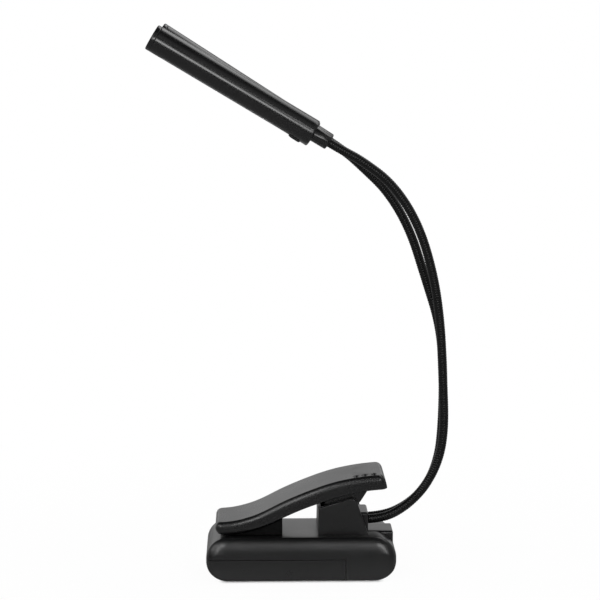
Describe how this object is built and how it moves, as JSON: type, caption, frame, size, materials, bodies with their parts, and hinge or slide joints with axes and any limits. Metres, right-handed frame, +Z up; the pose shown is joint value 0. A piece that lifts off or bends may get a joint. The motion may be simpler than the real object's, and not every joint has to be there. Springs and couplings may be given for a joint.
{
  "type": "clip on reading lamp",
  "caption": "Black clip on reading lamp: a battery base with a spring clip, bending wound necks and slim stick heads with lenses and push buttons.",
  "frame": {"origin": "centre of the base's underside, on the surface that it stands on", "axes": "+Z up, +X towards the end of the base where the necks come out, +Y towards the back arm"},
  "size_m": [0.128, 0.039, 0.2345],
  "materials": {
    "base_plastic": "satin black moulded plastic",
    "lever_plastic": "satin black moulded plastic",
    "pad_rubber": "matte black rubber",
    "neck_metal": "black coated wound steel",
    "head_plastic": "glossy black moulded plastic",
    "lens_clear": "clear lens plastic",
    "board": "green circuit board",
    "led_board_white": "white circuit board",
    "led": "phosphor yellow",
    "switch_plastic": "black switch body",
    "button_plastic": "satin black button",
    "cell": "plain grey cell sleeve",
    "contact": "nickel plated strip",
    "steel": "plain steel",
    "inner_plastic": "black tray plastic",
    "jack_plastic": "black jack body",
    "wire": "insulated core wire"
  },
  "bodies": {
    "base": {"base_top_shell": "base_plastic", "base_bottom_shell": "base_plastic", "battery_tray": "inner_plastic", "battery_cell_1": "cell", "battery_cell_2": "cell", "battery_cell_3": "cell", "contact_springs": "contact", "contact_tabs": "contact", "driver_board": "board", "dc_jack": "jack_plastic", "case_screws": "steel", "hinge_pin": "steel", "clip_spring": "steel", "neck_block": "base_plastic", "front_neck_lower": "neck_metal", "back_neck_lower": "neck_metal", "front_core_wire": "wire", "back_core_wire": "wire"},
    "clip": {"lever": "lever_plastic", "jaw_pad": "pad_rubber"},
    "door": {"battery_door": "base_plastic"},
    "front_arm_middle": {"front_neck_middle": "neck_metal"},
    "front_arm_upper": {"front_neck_upper": "neck_metal"},
    "front_arm_end": {"front_neck_end": "neck_metal"},
    "front_head": {"front_neck_tip": "neck_metal", "front_collar": "head_plastic", "front_head_tube": "head_plastic", "front_end_cap": "head_plastic", "front_lens": "lens_clear", "front_led_board": "led_board_white", "front_leds": "led", "front_switch": "switch_plastic"},
    "front_button": {"front_button": "button_plastic"},
    "back_arm_middle": {"back_neck_middle": "neck_metal"},
    "back_arm_upper": {"back_neck_upper": "neck_metal"},
    "back_arm_end": {"back_neck_end": "neck_metal"},
    "back_head": {"back_neck_tip": "neck_metal", "back_collar": "head_plastic", "back_head_tube": "head_plastic", "back_end_cap": "head_plastic", "back_lens": "lens_clear", "back_led_board": "led_board_white", "back_leds": "led", "back_switch": "switch_plastic"},
    "back_button": {"back_button": "button_plastic"}
  },
  "joints": [
    {"name": "lever_pivot", "type": "hinge", "parent": "base", "child": "clip", "pos_m": [0.016, 0, 0.0265], "axis": [0, 1, 0], "range_deg": [0, 20], "stiffness_Nm_per_rad": 0.4, "springref_deg": -34.38, "deforming": ["clip_spring"]},
    {"name": "battery_door_slide", "type": "slide", "parent": "base", "child": "door", "axis": [-1, 0, 0], "range_m": [0, 0.065]},
    {"name": "front_lower_bend", "type": "hinge", "parent": "base", "child": "front_arm_middle", "pos_m": [0.06078, -0.0034, 0.0565], "axis": [0, 1, 0], "range_deg": [-25, 25], "deforming": ["front_core_wire"]},
    {"name": "front_side_bend", "type": "hinge", "parent": "front_arm_middle", "child": "front_arm_upper", "pos_m": [0.06123, -0.00391, 0.074], "axis": [1, 0, 0], "range_deg": [0, 25], "deforming": ["front_core_wire"]},
    {"name": "front_upper_bend", "type": "hinge", "parent": "front_arm_upper", "child": "front_arm_end", "pos_m": [0.05267, -0.00603, 0.141], "axis": [0, 1, 0], "range_deg": [-25, 25], "deforming": ["front_core_wire"]},
    {"name": "front_head_bend", "type": "hinge", "parent": "front_arm_end", "child": "front_head", "pos_m": [0.03187, -0.0073, 0.173], "axis": [0, 1, 0], "range_deg": [-25, 25], "deforming": ["front_core_wire"]},
    {"name": "front_button_press", "type": "slide", "parent": "front_head", "child": "front_button", "axis": [0.512, 0, 0.859], "range_m": [0, 0.0008], "stiffness_N_per_m": 300, "springref_m": -0.0006},
    {"name": "back_lower_bend", "type": "hinge", "parent": "base", "child": "back_arm_middle", "pos_m": [0.06076, 0.00342, 0.0565], "axis": [0, 1, 0], "range_deg": [-25, 25], "deforming": ["back_core_wire"]},
    {"name": "back_side_bend", "type": "hinge", "parent": "back_arm_middle", "child": "back_arm_upper", "pos_m": [0.0616, 0.00391, 0.074], "axis": [1, 0, 0], "range_deg": [-25, 0], "deforming": ["back_core_wire"]},
    {"name": "back_upper_bend", "type": "hinge", "parent": "back_arm_upper", "child": "back_arm_end", "pos_m": [0.05002, 0.00614, 0.138], "axis": [0, 1, 0], "range_deg": [-25, 25], "deforming": ["back_core_wire"]},
    {"name": "back_head_bend", "type": "hinge", "parent": "back_arm_end", "child": "back_head", "pos_m": [0.03179, 0.00731, 0.169], "axis": [0, 1, 0], "range_deg": [-25, 25], "deforming": ["back_core_wire"]},
    {"name": "back_button_press", "type": "slide", "parent": "back_head", "child": "back_button", "axis": [0.5402, 0, 0.8415], "range_m": [0, 0.0008], "stiffness_N_per_m": 300, "springref_m": -0.0006}
  ]
}
